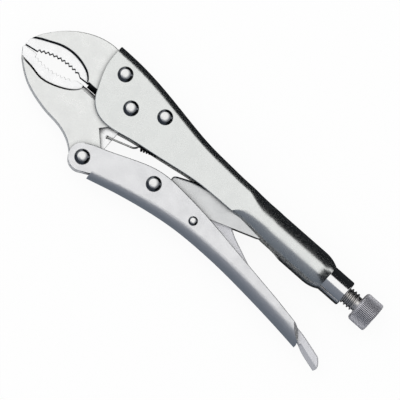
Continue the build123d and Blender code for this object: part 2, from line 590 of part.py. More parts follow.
# Adjusting screw with its thread
TIP_X = LINK_END[0] + LINK_R + TIP_GAP
ROOT_R = THREAD_D / 2 - THREAD_DEPTH
with BuildPart() as adjusting_screw:
    axis_plane = Plane(origin=(0, AXIS_Y, MID_Z), x_dir=(1, 0, 0), z_dir=(0, -1, 0))
    with BuildSketch(axis_plane):
        with BuildLine():
            Polyline((TIP_X, 0), (TIP_X, ROOT_R - 0.8), (TIP_X + 0.8, ROOT_R), (KNOB_X, ROOT_R),
                     (KNOB_X, SEAT_D / 2), (SEAT_END, SEAT_D / 2), (SEAT_END, 0), (TIP_X, 0))
        make_face()
    revolve(axis=Axis((0, AXIS_Y, MID_Z), (1, 0, 0)))
    start = Vector(TIP_X + 2.0, AXIS_Y, MID_Z)
    with BuildLine():
        thread = Helix(PITCH, KNOB_X - 1.6 - start.X, ROOT_R, center=start, direction=(1, 0, 0))
    out = ((thread @ 0) - start).normalized()
    with BuildSketch(Plane(origin=thread @ 0, x_dir=out, z_dir=thread % 0)):
        with BuildLine():
            Polyline((-0.2, -0.92), (THREAD_DEPTH, -0.2), (THREAD_DEPTH, 0.2), (-0.2, 0.92), close=True)
        make_face()
    sweep(path=thread, is_frenet=True)
adjusting_screw.part.label = "adjusting_screw"
export_step(adjusting_screw.part, "parts/adjusting_screw.step")

with BuildPart() as adjusting_knob:
    with BuildSketch(Plane.YZ.offset(KNOB_X)):
        with Locations((AXIS_Y, MID_Z)):
            Circle(KNOB_D / 2)
    extrude(amount=KNOB_END - KNOB_X)
    fillet(adjusting_knob.edges().filter_by(GeomType.CIRCLE).group_by(Axis.X)[0], KNOB_FRONT_ROUND)
    fillet(adjusting_knob.edges().filter_by(GeomType.CIRCLE).group_by(Axis.X)[-1], KNOB_END_ROUND)
    with BuildSketch(Plane.YZ.offset(KNOB_X - 1)):
        with Locations((AXIS_Y, MID_Z)):
            with PolarLocations(KNOB_D / 2, KNURLS):
                with Locations((-KNURL_DEPTH / 2, 0)):
                    RegularPolygon(KNURL_DEPTH, 3, rotation=180)
    extrude(amount=KNOB_END - KNOB_X + 2, mode=Mode.SUBTRACT)
    with BuildSketch(Plane.YZ.offset(KNOB_X)):
        with Locations((AXIS_Y, MID_Z)):
            Circle(SEAT_D / 2 + RUN_GAP)
    extrude(amount=SEAT_END - KNOB_X + RUN_GAP, mode=Mode.SUBTRACT)
adjusting_knob.part.label = "adjusting_knob"
export_step(adjusting_knob.part, "parts/adjusting_knob.step")


def biarc(p0, t0, p1, t1):
    """Middle point of the pair of arcs that leaves p0 along t0 and arrives at p1 along t1."""
    v = p1 - p0
    t = t0 + t1
    k = 2 * (1 - t0.dot(t1))
    d = (-v.dot(t) + math.sqrt(v.dot(t) ** 2 + k * v.dot(v))) / k
    return ((p0 + t0 * d) + (p1 - t1 * d)) * 0.5


def coil_point(turn):
    """Point on the coil after a number of turns, starting at its front."""
    a = 2 * math.pi * turn
    ring = Vector(0, 0, COIL_R * math.cos(a)) + COIL_UP * (COIL_R * math.sin(a))
    return COIL_C0 + COIL_DIR * (COIL_PITCH * turn) + ring


def coil_tangent(turn):
    """Direction of the wire there."""
    a = 2 * math.pi * turn
    ring = Vector(0, 0, -COIL_R * math.sin(a)) + COIL_UP * (COIL_R * math.cos(a))
    return (ring + COIL_DIR * (COIL_PITCH / (2 * math.pi))).normalized()


# Jaw opening spring: front hook through the tab of the moving jaw, coil, rear hook through the bent tab
with BuildPart() as jaw_spring:
    out = Vector(0, 0, 1)
    run_dir = Vector(math.cos(math.radians(HOOK_ANGLE)), math.sin(math.radians(HOOK_ANGLE)), 0)
    run_side = Vector(-run_dir.Y, run_dir.X, 0)
    hole = Vector(SPRING_HOLE[0], SPRING_HOLE[1], MID_Z)
    # front hook: through the hole, square to the tab, then along the run to the coil
    hook_end = hole - out * (TAB_T / 2 + 1.2 * WIRE_D)
    hook_turn = hole + out * (COIL_R - HOOK_R)
    run_start = hole + out * COIL_R + run_dir * HOOK_R
    turn_end = coil_point(0) - coil_tangent(0) * WIRE_D
    reach = turn_end - run_start
    run_end = run_start + run_dir * (reach.dot(run_dir) - reach.dot(run_side))
    turn_mid = biarc(run_end, run_dir, turn_end, coil_tangent(0))
    # rear hook: off the top of the coil, through the bent tab, then down behind it
    turns = COIL_TURNS + 0.25
    leave = coil_point(turns)
    rear_start = leave + (COIL_DIR - out) * HOOK_R
    rear_mid = biarc(leave, coil_tangent(turns), rear_start, COIL_DIR)
    rear_end = rear_start + COIL_DIR * ((TAB_AT - rear_start).dot(COIL_DIR) + SHEET + 0.6)
    rear_tip = rear_end + (COIL_DIR - COIL_UP) * HOOK_R
    with BuildLine() as wire:
        Line(hook_end, hook_turn)
        TangentArc(hook_turn, run_start, tangent=out)
        Line(run_start, run_end)
        TangentArc(run_end, turn_mid, tangent=run_dir)
        TangentArc(turn_end, turn_mid, tangent=coil_tangent(0) * -1)
        Line(turn_end, coil_point(0))
        for i in range(round(4 * turns)):
            a, b = coil_point(i / 4), coil_point((i + 1) / 4)
            middle = biarc(a, coil_tangent(i / 4), b, coil_tangent((i + 1) / 4))
            TangentArc(a, middle, tangent=coil_tangent(i / 4))
            TangentArc(b, middle, tangent=coil_tangent((i + 1) / 4) * -1)
        TangentArc(leave, rear_mid, tangent=coil_tangent(turns))
        TangentArc(rear_start, rear_mid, tangent=COIL_DIR * -1)
        Line(rear_start, rear_end)
        TangentArc(rear_end, rear_tip, tangent=COIL_DIR)
        Line(rear_tip, rear_tip - COIL_UP * (1.5 * WIRE_D))
    with BuildSketch(Plane(origin=hook_end, z_dir=out)):
        Circle(WIRE_D / 2)
    sweep(path=wire.wire())
jaw_spring.part.label = "jaw_spring"
export_step(jaw_spring.part, "parts/jaw_spring.step")

# Least gap of the wire to itself, on points along it more than half a turn apart
SAMPLES = 1600
points = [wire.wire() @ (i / SAMPLES) for i in range(SAMPLES + 1)]
step = wire.wire().length / SAMPLES
apart = math.ceil(math.pi * COIL_R / step)
least = min((points[i] - points[j]).length for i in range(0, SAMPLES, 2)
            for j in range(i + apart, min(i + 6 * apart, SAMPLES)))
print(f"spring: {wire.wire().length:.1f} mm of wire, least gap to itself {least - WIRE_D:.2f} mm")

rivet(FRONT_RIVET, HEAD_D, HEAD_H, SHANK_D, "front_jaw_rivet")
rivet(REAR_RIVET, HEAD_D, HEAD_H, SHANK_D, "rear_jaw_rivet")
rivet(JAW_PIVOT, HEAD_D, HEAD_H, SHANK_D, "jaw_pivot_rivet")
rivet(LEVER_PIVOT, HEAD_D, HEAD_H, SHANK_D, "lever_pivot_rivet")
rivet(LINK_PIVOT, HEAD_D, HEAD_H, SHANK_D, "link_pivot_rivet")
rivet(RELEASE_PIVOT, PIN_HEAD_D, PIN_HEAD_H, PIN_D, "release_pin")
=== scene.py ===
"""Looks of the locking pliers: metal finishes, the spring wire, the studio and the camera.

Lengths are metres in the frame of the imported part. X runs along the adjusting screw from the jaws
to the knob, Y points to the back of the upper handle, and Z up from the surface the pliers lie on.
"""

import json
import logging
import math
from dataclasses import dataclass, replace
from enum import Enum
from typing import Any

import bpy
import numpy as np
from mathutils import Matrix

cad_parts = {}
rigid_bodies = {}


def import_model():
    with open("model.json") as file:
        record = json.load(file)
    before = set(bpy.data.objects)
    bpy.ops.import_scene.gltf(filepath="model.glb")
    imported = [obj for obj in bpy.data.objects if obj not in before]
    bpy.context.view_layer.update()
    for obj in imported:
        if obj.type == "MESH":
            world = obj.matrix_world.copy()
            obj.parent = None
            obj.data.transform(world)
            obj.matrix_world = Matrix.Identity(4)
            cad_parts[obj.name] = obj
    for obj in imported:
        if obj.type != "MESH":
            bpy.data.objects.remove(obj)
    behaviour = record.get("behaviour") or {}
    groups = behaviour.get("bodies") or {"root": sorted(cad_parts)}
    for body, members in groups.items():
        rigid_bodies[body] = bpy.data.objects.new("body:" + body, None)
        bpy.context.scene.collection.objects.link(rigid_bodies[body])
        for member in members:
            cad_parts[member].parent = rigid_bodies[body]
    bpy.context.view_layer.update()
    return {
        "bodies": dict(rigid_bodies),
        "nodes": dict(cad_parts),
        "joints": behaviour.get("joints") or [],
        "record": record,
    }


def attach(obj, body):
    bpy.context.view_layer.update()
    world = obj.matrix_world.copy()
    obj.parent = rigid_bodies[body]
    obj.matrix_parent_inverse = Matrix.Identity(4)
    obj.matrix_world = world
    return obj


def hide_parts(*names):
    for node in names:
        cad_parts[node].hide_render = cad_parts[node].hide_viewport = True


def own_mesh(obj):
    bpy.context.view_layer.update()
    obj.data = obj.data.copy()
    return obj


Tree = bpy.types.NodeTree
Socket = bpy.types.NodeSocket
Materials = dict[str, bpy.types.Material]
Colour = tuple[float, float, float, float]
Pair = tuple[float, float]
Stops = tuple[tuple[float, str], ...]
Frame = dict[str, Any]

LOG = logging.getLogger("pliers")
MM = 0.001
MID_Z = 10.2 * MM  # middle plane of the tool, half way between its two sides
WHITE: Colour = (1.0, 1.0, 1.0, 1.0)
RAYS = 6  # samples of the nodes that look for corners and edges
CLOUD_RANGE = (0.3, 0.7)  # noise over which the roughness goes from its least to its most
CORNER_RANGE = (0.25, 0.85)  # openness at which a surface takes all the painted shade, and none of it
GRAIN_GAIN = 0.18  # how much the height of the grain adds to the clean share
GRAIN_BASE = 0.86  # clean share at the foot of the grain
DRAWN_STRETCH = (0.06, 1.0, 1.0)  # the marks of drawing run along X


class Grain(Enum):
    """How the surface of a metal was made, and so which pattern it carries."""

    BLASTED = "blasted"
    TURNED = "turned"
    DRAWN = "drawn"


def linear(code: str) -> Colour:
    """Turns an sRGB hex colour into linear light.

    Args:
        code: six hex digits after a hash sign.

    Returns:
        Red, green, blue and alpha, linear.
    """
    parts = (int(code[i:i + 2], 16) / 255 for i in (1, 3, 5))
    light = [c / 12.92 if c <= 0.04045 else ((c + 0.055) / 1.055) ** 2.4 for c in parts]
    return (light[0], light[1], light[2], 1.0)


def add_node(tree: Tree, kind: str, inputs: dict | None = None,
             **settings: Any) -> bpy.types.Node:
    """Adds a node with its settings, values and links.

    Args:
        tree: node tree that gets the node.
        kind: Blender's name of the node type.
        inputs: value or output socket for each input, by name or place.
        settings: properties of the node.

    Returns:
        The new node.
    """
    node = tree.nodes.new(kind)
    for name, value in settings.items():
        setattr(node, name, value)
    for key, value in (inputs or {}).items():
        if isinstance(value, Socket):
            tree.links.new(value, node.inputs[key])
        else:
            node.inputs[key].default_value = value
    return node


def new_tree(name: str) -> tuple[bpy.types.Material, Tree]:
    """Makes a material with an empty node tree.

    Args:
        name: name of the material.

    Returns:
        The material and its tree.
    """
    made = bpy.data.materials.new(name)
    made.use_nodes = True
    made.node_tree.nodes.clear()
    return made, made.node_tree


@dataclass(frozen=True)
class Finish:
    """A metal finish, as the numbers of its material.

    Args:
        name: what the metal is and how its surface was made.
        clean: sRGB of the open surface.
        dull: sRGB of the painted shade in its corners and hollows.
        roughness: middle of the range of roughness.
        spread: how far the roughness wanders to either side.
        cloud_mm: size of the patches over which it wanders.
        grain: pattern left by the making.
        grain_mm: spacing of that pattern.
        relief_mm: height of that pattern.
        metallic: 1 for bare metal and bright plating, less for dull plating.
        shade_mm: how far a hollow reaches, so that its inside takes the painted shade.
        own_shade: whether the piece alone casts that painted shade, and not its neighbours too.
        edge_mm: radius to which handling has rounded its sharp edges, 0 where they are as built.
    """

    name: str
    clean: str
    dull: str
    roughness: float
    spread: float
    cloud_mm: float
    grain: Grain
    grain_mm: float
    relief_mm: float
    metallic: float = 1.0
    shade_mm: float = 2.5
    own_shade: bool = True
    edge_mm: float = 0.0

    def pattern(self, tree: Tree, place: Socket) -> Socket:
        """Adds the nodes of the grain.

        Args:
            tree: node tree of the material.
            place: object coordinates, in metres.

        Returns:
            Height of the grain, from 0 to 1.
        """
        per_metre = 1 / (self.grain_mm * MM)
        if self.grain is Grain.TURNED:
            # a wave band repeats every 2 pi / 20 of its scaled coordinate
            rings = add_node(tree, "ShaderNodeTexWave", {
                "Vector": place, "Scale": math.pi / 10 * per_metre, "Distortion": 1.5,
                "Detail": 2.0, "Detail Scale": 3.0}, wave_type="BANDS", bands_direction="X")
            return rings.outputs["Fac"]
        stretch = (1.0, 1.0, 1.0) if self.grain is Grain.BLASTED else DRAWN_STRETCH
        drawn = add_node(tree, "ShaderNodeMapping", {"Vector": place, "Scale": stretch})
        noise = add_node(tree, "ShaderNodeTexNoise", {
            "Vector": drawn.outputs["Vector"], "Scale": per_metre, "Detail": 3.0,
            "Roughness": 0.6})
        return noise.outputs["Fac"]

    def tone(self, tree: Tree, share: Socket) -> Socket:
        """Adds the nodes of the colour, with painted shade in the corners.

        Args:
            tree: node tree of the material.
            share: 1 on the open surface, 0 in the corners.

        Returns:
            Colour of the metal.
        """
        return add_node(tree, "ShaderNodeMix", {
            0: share, 6: linear(self.dull), 7: linear(self.clean)}, data_type="RGBA").outputs[2]

    def metal(self, tree: Tree) -> float | Socket:
        """Share of bare metal, the same all over unless a finish says where it isn't."""
        return self.metallic

    def material(self) -> bpy.types.Material:
        """Builds the material: painted corner shade and grain in the tone, wandering roughness,
        grain as bump.

        Returns:
            The material.
        """
        made, tree = new_tree(self.name)
        place = add_node(tree, "ShaderNodeTexCoord").outputs["Object"]
        cloud = add_node(tree, "ShaderNodeTexNoise", {
            "Vector": place, "Scale": 1 / (self.cloud_mm * MM), "Detail": 4.0, "Roughness": 0.6})
        rough = add_node(tree, "ShaderNodeMapRange", {
            "Value": cloud.outputs["Fac"],
            "From Min": CLOUD_RANGE[0], "From Max": CLOUD_RANGE[1],
            "To Min": self.roughness - self.spread, "To Max": self.roughness + self.spread})
        # painted shade: occlusion finds corners and hollows, and also parts lying over them where
        # own_shade is off, and turns them towards the dull colour
        corner = add_node(tree, "ShaderNodeAmbientOcclusion", {"Distance": self.shade_mm * MM},
                          samples=RAYS, only_local=self.own_shade)
        open_air = add_node(tree, "ShaderNodeMapRange", {
            "Value": corner.outputs["AO"],
            "From Min": CORNER_RANGE[0], "From Max": CORNER_RANGE[1]})
        height = self.pattern(tree, place)
        patchy = add_node(tree, "ShaderNodeMath", {
            0: height, 1: GRAIN_GAIN, 2: GRAIN_BASE}, operation="MULTIPLY_ADD")
        share = add_node(tree, "ShaderNodeMath", {
            0: open_air.outputs["Result"], 1: patchy.outputs["Value"]}, operation="MULTIPLY",
            use_clamp=True)
        bump = add_node(tree, "ShaderNodeBump", {
            "Strength": 1.0, "Distance": self.relief_mm * MM, "Height": height})
        if self.edge_mm:
            worn = add_node(tree, "ShaderNodeBevel", {"Radius": self.edge_mm * MM}, samples=RAYS)
            tree.links.new(worn.outputs["Normal"], bump.inputs["Normal"])
        shader = add_node(tree, "ShaderNodeBsdfPrincipled", {
            "Base Color": self.tone(tree, share.outputs["Value"]), "Metallic": self.metal(tree),
            "Roughness": rough.outputs["Result"], "Normal": bump.outputs["Normal"]})
        add_node(tree, "ShaderNodeOutputMaterial", {"Surface": shader.outputs["BSDF"]})
        return made


@dataclass(frozen=True)
class JawFinish(Finish):
    """Finish of a jaw: plated flats, whiter ground levels below them, painted shade on the walls in
    the mouth.

    Args:
        ground: sRGB of the levels below the flats.
        wall: sRGB of the painted shade on the walls in the mouth and at the base of walls.
        half_mm: half the thickness of the jaw.
        step_mm: depth below the flats past which a level counts as ground.
        mouth_mid: middle of the ellipse that holds the mouth and the cutter, x and y in mm.
        mouth_half: its half lengths in mm.
        bevel_from: lowest x and y, in mm, of the lower cutter bevel, ground matt and bright.
        bevel_to: its highest x and y, in mm.
        matt: how far the bevel loses the mirror of the plating.
        forged: how far the outer walls lose it.
        inward: 1 where the mouth lies to +Y of the jaw, -1 where it lies to -Y.
        facing: least part of the normal towards the mouth on the walls of the mouth.
        upright: part of the normal along Z up to which they keep their tone without painted shade,
            below 0 for none.
        steep: parts of the normal along Z at which a face starts to be a wall, and is one.
        foot: clean shares at which the painted shade at the base of a wall is as dark as the wall,
            and gone to ground.
    """

    ground: str = "#FFFFFF"
    wall: str = "#2C2E31"
    half_mm: float = 5.2
    step_mm: float = 0.7
    mouth_mid: Pair = (-45.0, -7.5)
    mouth_half: Pair = (27.0, 14.5)
    bevel_from: Pair = (-28.0, -9.85)
    bevel_to: Pair = (-11.0, -7.1)
    matt: float = 0.9
    forged: float = 0.5
    inward: float = -1.0
    facing: float = 0.3
    upright: float = -1.0
    steep: Pair = (0.9, 0.65)
    foot: Pair = (0.35, 0.85)

    def bevel(self, tree: Tree) -> Socket:
        """Adds the nodes that find the lower cutter bevel.

        Args:
            tree: node tree of the material.

        Returns:
            1 within the box of the bevel, 0 outside it.
        """
        place = add_node(tree, "ShaderNodeSeparateXYZ", {
            0: add_node(tree, "ShaderNodeTexCoord").outputs["Object"]}).outputs
        inside: Socket | float = 1.0
        limits = zip("XYXY", (*self.bevel_from, *self.bevel_to),
                     ("GREATER_THAN", "GREATER_THAN", "LESS_THAN", "LESS_THAN"))
        for axis, limit, test in limits:
            within = add_node(tree, "ShaderNodeMath", {0: place[axis], 1: limit * MM},
                              operation=test)
            inside = add_node(tree, "ShaderNodeMath", {0: inside, 1: within.outputs["Value"]},
                              operation="MULTIPLY").outputs["Value"]
        return inside

    def walls(self, tree: Tree, in_mouth: bool) -> Socket:
        """Adds the nodes that find the walls of the mouth, which get painted shade, or all the
        other walls.

        Args:
            tree: node tree of the material.
            in_mouth: whether the walls of the mouth or the other ones are meant.

        Returns:
            1 on the walls that are meant, 0 elsewhere.
        """
        coords = add_node(tree, "ShaderNodeTexCoord").outputs
        normal = add_node(tree, "ShaderNodeSeparateXYZ", {0: coords["Normal"]}).outputs
        level = add_node(tree, "ShaderNodeMath", {0: normal["Z"]}, operation="ABSOLUTE")
        steep = add_node(tree, "ShaderNodeMapRange", {
            "Value": level.outputs["Value"],
            "From Min": self.steep[0], "From Max": self.steep[1]})
        # distance from the middle of the mouth, 1 on the ellipse
        across = add_node(tree, "ShaderNodeVectorMath", {
            0: coords["Object"], 1: tuple(-v * MM for v in (*self.mouth_mid, 0.0))},
            operation="ADD")
        scaled = add_node(tree, "ShaderNodeVectorMath", {
            0: across.outputs["Vector"],
            1: tuple(1 / (v * MM) for v in self.mouth_half) + (0.0,)}, operation="MULTIPLY")
        ring = add_node(tree, "ShaderNodeVectorMath", {0: scaled.outputs["Vector"]},
                        operation="LENGTH")
        near = add_node(tree, "ShaderNodeMath", {0: ring.outputs["Value"], 1: 1.0},
                        operation="LESS_THAN")
        turned = add_node(tree, "ShaderNodeMath", {0: normal["Y"], 1: self.inward},
                          operation="MULTIPLY")
        facing = add_node(tree, "ShaderNodeMath", {0: turned.outputs["Value"], 1: self.facing},
                          operation="GREATER_THAN")
        sloping = add_node(tree, "ShaderNodeMath", {0: level.outputs["Value"], 1: self.upright},
                           operation="GREATER_THAN")
        # painted shade: walls turned to the mouth and sloping enough get the dark wall colour
        facing_shade = add_node(tree, "ShaderNodeMath", {
            0: facing.outputs["Value"], 1: sloping.outputs["Value"]}, operation="MULTIPLY")
        mouth = add_node(tree, "ShaderNodeMath", {
            0: near.outputs["Value"], 1: facing_shade.outputs["Value"]}, operation="MULTIPLY")
        # the distance from 1 turns the mask round where the other walls are meant
        apart = add_node(tree, "ShaderNodeMath", {
            0: mouth.outputs["Value"], 1: 0.0 if in_mouth else 1.0}, operation="SUBTRACT")
        meant = add_node(tree, "ShaderNodeMath", {0: apart.outputs["Value"]},
                         operation="ABSOLUTE")
        return add_node(tree, "ShaderNodeMath", {
            0: steep.outputs["Result"], 1: meant.outputs["Value"]},
            operation="MULTIPLY").outputs["Value"]

    def metal(self, tree: Tree) -> Socket:
        """Adds the nodes of the share of bare metal.

        Args:
            tree: node tree of the material.

        Returns:
            1 on the plating, less on the matt bevel and on the forged walls.
        """
        bare: Socket | float = 1.0
        for loss, mask in ((self.forged, self.walls(tree, False)), (self.matt, self.bevel(tree))):
            left = add_node(tree, "ShaderNodeMath", {0: mask, 1: -loss, 2: 1.0},
                            operation="MULTIPLY_ADD")
            bare = add_node(tree, "ShaderNodeMath", {0: bare, 1: left.outputs["Value"]},
                            operation="MULTIPLY").outputs["Value"]
        return bare

    def tone(self, tree: Tree, share: Socket) -> Socket:
        """Adds the nodes of the colour: flats, ground levels and painted shade on walls, by height
        and slope.

        Args:
            tree: node tree of the material.
            share: 1 on the open surface, 0 in the corners.

        Returns:
            Colour of the metal.
        """
        place = add_node(tree, "ShaderNodeTexCoord").outputs["Object"]
        height = add_node(tree, "ShaderNodeSeparateXYZ", {0: place}).outputs["Z"]
        off_mid = add_node(tree, "ShaderNodeMath", {0: height, 1: -MID_Z}, operation="ADD")
        reach = add_node(tree, "ShaderNodeMath", {0: off_mid.outputs["Value"]},
                         operation="ABSOLUTE")
        low = add_node(tree, "ShaderNodeMath", {
            0: reach.outputs["Value"], 1: (self.half_mm - self.step_mm) * MM},
            operation="LESS_THAN")
        # painted shade: the walls of the mouth, all but the lower cutter bevel, take the dark wall
        # colour
        wall = add_node(tree, "ShaderNodeMath", {
            0: self.walls(tree, True), 1: self.bevel(tree)}, operation="SUBTRACT", use_clamp=True)
        flat = super().tone(tree, share)
        # painted shade at the base of walls on the lower levels, where the occlusion share is low
        foot = add_node(tree, "ShaderNodeMapRange", {
            "Value": share, "From Min": self.foot[0], "From Max": self.foot[1]})
        level_tone = add_node(tree, "ShaderNodeMix", {
            0: foot.outputs["Result"], 6: linear(self.wall), 7: linear(self.ground)},
            data_type="RGBA")
        worked = add_node(tree, "ShaderNodeMix", {
            0: low.outputs["Value"], 6: flat, 7: level_tone.outputs[2]}, data_type="RGBA")
        return add_node(tree, "ShaderNodeMix", {
            0: wall.outputs["Value"], 6: worked.outputs[2], 7: linear(self.wall)},
            data_type="RGBA").outputs[2]


@dataclass(frozen=True)
class WireFinish(Finish):
    """Finish of the spring: a black coil, and painted light that brightens the front hook.

    Args:
        hook: sRGB of the painted light on the front hook.
        lit_to_mm: x, in mm, up to which the wire is painted bright.
        own_black_from_mm: x, in mm, from which it keeps its own black.
    """

    hook: str = "#DADAD6"
    lit_to_mm: float = 13.5
    own_black_from_mm: float = 16.0

    def tone(self, tree: Tree, share: Socket) -> Socket:
        """Adds the nodes of the colour: painted light at the hook, the wire's own black from the
        first turn on.

        Args:
            tree: node tree of the material.
            share: 1 on the open surface, 0 in the corners.

        Returns:
            Colour of the wire.
        """
        along = add_node(tree, "ShaderNodeSeparateXYZ", {
            0: add_node(tree, "ShaderNodeTexCoord").outputs["Object"]}).outputs["X"]
        # painted light: the wire is painted bright along the front hook and fades to its own black
        # before the coil
        black = add_node(tree, "ShaderNodeMapRange", {
            "Value": along, "From Min": self.lit_to_mm * MM, "From Max": self.own_black_from_mm * MM})
        return add_node(tree, "ShaderNodeMix", {
            0: black.outputs["Result"], 6: linear(self.hook), 7: super().tone(tree, share)},
            data_type="RGBA").outputs[2]


@dataclass(frozen=True)
class RivetFinish(Finish):
    """Finish of a rivet: painted shade on the shoulder round the bright crown, set by slope as
    light falls from the jaws.

    Args:
        shoulder: sRGB of the painted shade on the shoulder.
        crown_lit_from: part of the normal along the light's line from which the crown is free of
            painted shade.
        shoulder_shaded_below: part of the normal along that line below which the shoulder is in
            full painted shade.
        light_lean: how far that line leans to the jaws, the side the light comes from, per unit of
            height.
    """

    shoulder: str = "#6E7176"
    crown_lit_from: float = 0.986
    shoulder_shaded_below: float = 0.962
    light_lean: float = 0.08

    def tone(self, tree: Tree, share: Socket) -> Socket:
        """Adds the nodes of the colour: bright crown, painted shade on the shoulder, told apart by
        slope.

        Args:
            tree: node tree of the material.
            share: 1 on the open surface, 0 in the corners.

        Returns:
            Colour of the rivet.
        """
        # painted shade on the shoulder and a painted highlight on the crown, by slope against a
        # line that leans to the light
        length = math.hypot(self.light_lean, 1.0)
        slope = add_node(tree, "ShaderNodeVectorMath", {
            0: add_node(tree, "ShaderNodeTexCoord").outputs["Normal"],
            1: (-self.light_lean / length, 0.0, 1.0 / length)}, operation="DOT_PRODUCT")
        level = add_node(tree, "ShaderNodeMath", {0: slope.outputs["Value"]},
                         operation="ABSOLUTE")
        dull = add_node(tree, "ShaderNodeMapRange", {
            "Value": level.outputs["Value"],
            "From Min": self.crown_lit_from, "From Max": self.shoulder_shaded_below})
        return add_node(tree, "ShaderNodeMix", {
            0: dull.outputs["Result"], 6: super().tone(tree, share), 7: linear(self.shoulder)},
            data_type="RGBA").outputs[2]


# In every finish the second colour is the painted shade of its corners and hollows.
# Nickel plate over blasted sheet steel: a pale satin that still mirrors bands of light.
# The blast grain, here and below, is about 0.1 mm, and is drawn coarser so that it shows.
SHEET_NICKEL = Finish(
    "nickel_plated_sheet", "#EAECEA", "#3A3B3D", roughness=0.27, spread=0.04, cloud_mm=9.0,
    grain=Grain.BLASTED, grain_mm=0.7, relief_mm=0.0015, shade_mm=12.0)
# The lever is plated after tumbling: whiter than the upper handle, and its mirror is softer.
TUMBLED_NICKEL = Finish(
    "nickel_plated_tumbled_sheet", "#F8F8F9", "#3C3C40", roughness=0.38, spread=0.05,
    cloud_mm=9.0, grain=Grain.BLASTED, grain_mm=0.7, relief_mm=0.007, shade_mm=12.0)
# Nickel plate over a forged jaw: a little rougher and whiter than the sheet, with worn edges,
# painted shade on the walls in the mouth, and painted shadow where neighbouring parts lie over it.
FORGED_NICKEL = JawFinish(
    "nickel_plated_forging", "#F2F3F1", "#58595B", roughness=0.30, spread=0.05, cloud_mm=6.0,
    grain=Grain.BLASTED, grain_mm=0.8, relief_mm=0.009, shade_mm=4.0, own_shade=False,
    edge_mm=0.5)
# The lower jaw has the same plating and painted shade, but its upright tooth faces keep their tone.
LOWER_FORGED_NICKEL = replace(
    FORGED_NICKEL, name="nickel_plated_lower_forging", inward=1.0, upright=0.3)
# The release lever is stamped from thick strip and plated thinly: greyer and more matt.
STAMPED_NICKEL = Finish(
    "nickel_plated_stamping", "#E8E8EC", "#5C5C60", roughness=0.46, spread=0.05, cloud_mm=7.0,
    grain=Grain.BLASTED, grain_mm=0.7, relief_mm=0.008, metallic=0.6)
# The link has the lever's plating, with painted shadow where it goes into the upper handle.
LINK_NICKEL = Finish(
    "nickel_plated_link", "#ECEDED", "#1C1D1F", roughness=0.38, spread=0.05, cloud_mm=9.0,
    grain=Grain.BLASTED, grain_mm=0.7, relief_mm=0.007, shade_mm=16.0, own_shade=False)
# Bright nickel on a turned bush: sharp reflections with fine rings from the lathe. The rings
# are about 0.1 mm apart, and are drawn at 0.5 mm so that they show.
BRIGHT_TURNED = Finish(
    "bright_nickel_turned", "#FBFBFB", "#77787A", roughness=0.14, spread=0.03, cloud_mm=5.0,
    grain=Grain.TURNED, grain_mm=0.5, relief_mm=0.001)
# Rolled thread, lightly oiled: bare, slightly warm steel, bright on the crests. The marks of
# drawing, here and on the spring, are under 0.1 mm wide, and are drawn coarser so that they show.
SCREW_STEEL = Finish(
    "rolled_screw_steel", "#EAE7E4", "#8A8887", roughness=0.36, spread=0.06, cloud_mm=4.0,
    grain=Grain.DRAWN, grain_mm=0.5, relief_mm=0.004)
# Knurled knob, dull nickel over steel: mid grey, because the knurl breaks up the light.
KNURLED_STEEL = Finish(
    "dull_nickel_knurled", "#F4F3F9", "#6C6C72", roughness=0.42, spread=0.06, cloud_mm=4.0,
    grain=Grain.BLASTED, grain_mm=0.6, relief_mm=0.010, metallic=0.8)
# Spring wire with black oxide: dark, with an oily half gloss, and painted light on the front hook.
SPRING_BLACK = WireFinish(
    "black_oxide_wire", "#4A4A4E", "#101011", roughness=0.38, spread=0.06, cloud_mm=3.0,
    grain=Grain.DRAWN, grain_mm=0.4, relief_mm=0.004)
# Polished rivet heads: a bright crown with faint marks of the setting tool, and painted shade on
# the shoulder.
RIVET_CHROME = RivetFinish(
    "polished_rivet", "#F3F3F2", "#6A6B6D", roughness=0.20, spread=0.04, cloud_mm=3.0,
    grain=Grain.BLASTED, grain_mm=2.2, relief_mm=0.05)
FINISHES = (SHEET_NICKEL, TUMBLED_NICKEL, LINK_NICKEL, STAMPED_NICKEL, FORGED_NICKEL,
            LOWER_FORGED_NICKEL, BRIGHT_TURNED, SCREW_STEEL, KNURLED_STEEL, SPRING_BLACK,
            RIVET_CHROME)


def new_piece(name: str, points: np.ndarray, faces: np.ndarray) -> bpy.types.Object:
    """Makes a smooth mesh object at the origin from whole arrays.

    Args:
        name: name of the piece.
        points: one row of x, y and z for each vertex.
        faces: one row of four vertex numbers for each face.

    Returns:
        The object, linked to the scene.
    """
    mesh = bpy.data.meshes.new(name)
    mesh.from_pydata(points.tolist(), [], faces.tolist())
    mesh.polygons.foreach_set("use_smooth", np.ones(len(faces), dtype=bool))
    mesh.update()
    made = bpy.data.objects.new(name, mesh)
    bpy.context.scene.collection.objects.link(made)
    return made


def grid_faces(rows: int, columns: int, closed: bool) -> np.ndarray:
    """Quads of a grid of vertices, whose columns close into a ring where asked.

    Args:
        rows: vertices along the first parameter.
        columns: vertices along the second one.
        closed: whether the last column joins the first.

    Returns:
        Four vertex numbers for each quad.
    """
    i, j = np.meshgrid(np.arange(rows - 1), np.arange(columns if closed else columns - 1),
                       indexing="ij")
    k = (j + 1) % columns
    corners = [i * columns + j, i * columns + k, (i + 1) * columns + k, (i + 1) * columns + j]
    return np.stack(corners, axis=-1).reshape(-1, 4)


def unit(v: np.ndarray) -> np.ndarray:
    """Rows of v at length one."""
    return v / np.linalg.norm(v, axis=-1, keepdims=True)


@dataclass
class Dressed:
    """A sub-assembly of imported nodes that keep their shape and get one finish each.

    Args:
        name: what the sub-assembly is called in the log.
        finishes: finish of each node.
    """

    name: str
    finishes: dict[str, Finish]

    def dress(self, frame: Frame, made: Materials) -> None:
        """Gives each node the material of its finish.

        Args:
            frame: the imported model.
            made: materials by the name of their finish.
        """
        for node, finish in self.finishes.items():
            mesh = frame["nodes"][node].data
            mesh.materials.clear()
            mesh.materials.append(made[finish.name])
            LOG.info("%s: %s in %s", self.name, node, finish.name)


